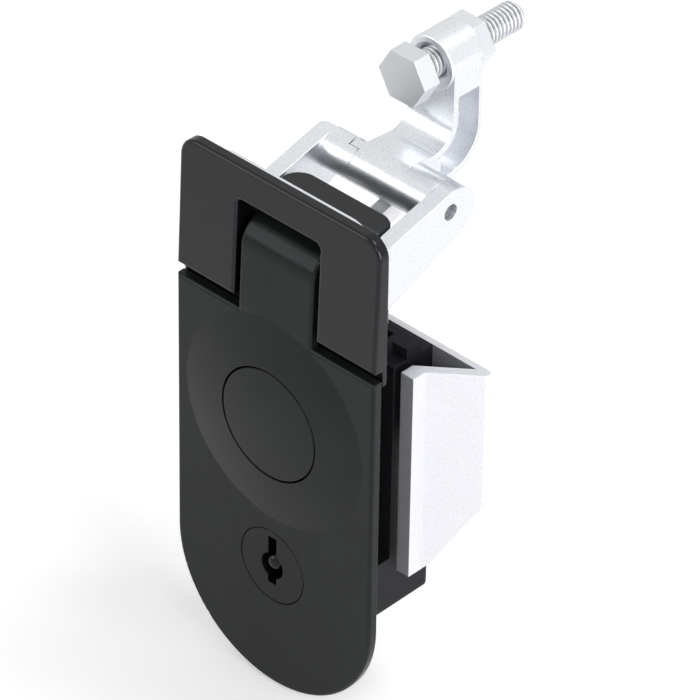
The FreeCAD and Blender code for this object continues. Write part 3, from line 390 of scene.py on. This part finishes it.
def threaded_rod(bm, start, end, radius, centre):
    """A rod along Y whose surface is a helical groove, with a short tapered point."""
    steps = int((end - start) / THREAD_PITCH * STEPS_PER_PITCH)
    rings = []
    for step in range(steps + 1):
        y = start + (end - start) * step / steps
        taper = radius - max(0.0, y - (end - POINT_LENGTH)) * POINT_SLOPE
        radii = []
        for i in range(STEPS_ROUND):
            phase = (y / THREAD_PITCH - i / STEPS_ROUND) % 1.0
            height = min(1.0, THREAD_FLANK_SLOPE - abs(phase - 0.5) * 2 * THREAD_FLANK_SLOPE)
            radii.append(min(radius - THREAD_DEPTH * (1.0 - height), taper))
        rings.append(ring(bm, y, radii, centre))
    skin(bm, rings)


def hexagon_prism(bm, y0, y1, across_flats, centre):
    """A plain hexagon with crisp edges. Corners point to the sides."""
    corners = [across_flats / math.sqrt(3)] * 6
    skin(bm, [ring(bm, y0, corners, centre), ring(bm, y1, corners, centre)])


bolt_mesh = bmesh.new()
hexagon_prism(bolt_mesh, bolt_low.y, head_rear, HEAD_ACROSS_FLATS, bolt_axis)
threaded_rod(bolt_mesh, head_rear - THREAD_IN_HEAD, bolt_high.y, THREAD_RADIUS, bolt_axis)
stand_in(from_bmesh("adjusting_bolt_threaded", bolt_mesh, CRISP_ANGLE_DEG), "adjusting_bolt")

nut_low, nut_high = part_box("lock_nut")
nut_mesh = bmesh.new()
hexagon_prism(nut_mesh, nut_low.y, nut_high.y, HEAD_ACROSS_FLATS, bolt_axis)
stand_in(from_bmesh("lock_nut_plain", nut_mesh, CRISP_ANGLE_DEG), "lock_nut")

shutter_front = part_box("key_shutter")[0].y
lock_low, lock_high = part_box("lock_plug")
lock_z = (lock_low.z + lock_high.z) / 2
shutter_mesh = bmesh.new()
disc_front = shutter_front + SHUTTER_DISC_DEPTH
disc_outline = [SHUTTER_DISC_RADIUS] * STEPS_ROUND
skin(shutter_mesh, [ring(shutter_mesh, y, disc_outline, (0.0, lock_z))
                    for y in (disc_front, disc_front + SHUTTER_DISC_THICKNESS)])
ball_centre = Vector((SHUTTER_BALL_SHIFT, shutter_front + SHUTTER_BALL_RADIUS, lock_z))
bmesh.ops.create_uvsphere(shutter_mesh, u_segments=STEPS_ROUND, v_segments=STEPS_ROUND // 2,
                          radius=SHUTTER_BALL_RADIUS, matrix=Matrix.Translation(ball_centre))
stand_in(from_bmesh("key_shutter_ball", shutter_mesh), "key_shutter")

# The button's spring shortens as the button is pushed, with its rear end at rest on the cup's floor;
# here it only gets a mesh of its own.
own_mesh(node_object("button_spring"))

# Floor: it catches the shadow, and glows a little for the camera and in mirrors
floor_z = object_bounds()[0].z - FLOOR_GAP
floor_mesh = bmesh.new()
bmesh.ops.create_grid(floor_mesh, x_segments=1, y_segments=1, size=FLOOR_SIZE / 2)
floor = from_bmesh("floor", floor_mesh)
floor.location.z = floor_z
floor_finish = Material("pale_floor")
floor_finish.inputs["Base Color"].default_value = (FLOOR_GREY, FLOOR_GREY, FLOOR_GREY, 1.0)
floor_finish.inputs["Roughness"].default_value = FLOOR_ROUGHNESS
floor_finish.inputs["Specular IOR Level"].default_value = FLOOR_SPECULAR
floor_finish.inputs["Emission Color"].default_value = (*WHITE, 1.0)
floor_finish.link(floor_finish.mapped(floor_finish.seen_or_mirrored(), onto=(0.0, FLOOR_GLOW)),
                  floor_finish.inputs["Emission Strength"])
floor.data.materials.append(floor_finish.material)

# World: a soft even light, white to the camera and in mirrors
world = bpy.data.worlds.new("studio")
bpy.context.scene.world = world
world.use_nodes = True
sky = Nodes(world.node_tree)
background = world.node_tree.nodes["Background"]
background.inputs["Color"].default_value = (*WHITE, 1.0)
sky.link(sky.mapped(sky.seen_or_mirrored(), onto=(WORLD_LIGHT, 1.0)), background.inputs["Strength"])


def area_light(name, place, size, watts, size_y=None, colour=WHITE):
    """A flat lamp that points at the part, square unless size_y is given."""
    data = bpy.data.lights.new(name, "AREA")
    data.energy = watts
    data.color = colour
    data.size = size
    if size_y:
        data.shape = "RECTANGLE"
        data.size_y = size_y
    lamp = add_to_scene(name, data)
    lamp.location = place
    lamp.rotation_euler = (LAMP_AIM - Vector(place)).to_track_quat("-Z", "Y").to_euler()


area_light("key_right", place=(1.0, -0.1, 0.22), size=0.6, watts=9.4, colour=(1.0, 0.955, 1.0))
area_light("top_rear_right", place=(0.35, 0.35, 1.05), size=0.4, watts=4.5)
area_light("front_left", place=(-0.61, -0.76, 0.47), size=0.46, watts=2.4, size_y=0.68)
area_light("front_glint", place=(0.66, -0.7, 0.66), size=0.13, watts=1.5)

camera_data = bpy.data.cameras.new("photo_camera")
camera_data.sensor_width = SENSOR_WIDTH_MM
camera_data.lens = CAMERA_LENS_MM
camera_data.clip_start = CAMERA_NEAR
camera_data.clip_end = CAMERA_FAR
camera = add_to_scene("photo_camera", camera_data)
camera.location = CAMERA_POSITION
aimed = (LOOK_AT - CAMERA_POSITION).to_track_quat("-Z", "Y").to_matrix().to_4x4()
camera.rotation_euler = (aimed @ Matrix.Rotation(math.radians(CAMERA_ROLL_DEG), 4, "Z")).to_euler()
bpy.context.scene.camera = camera
bpy.context.scene.view_settings.view_transform = "Standard"
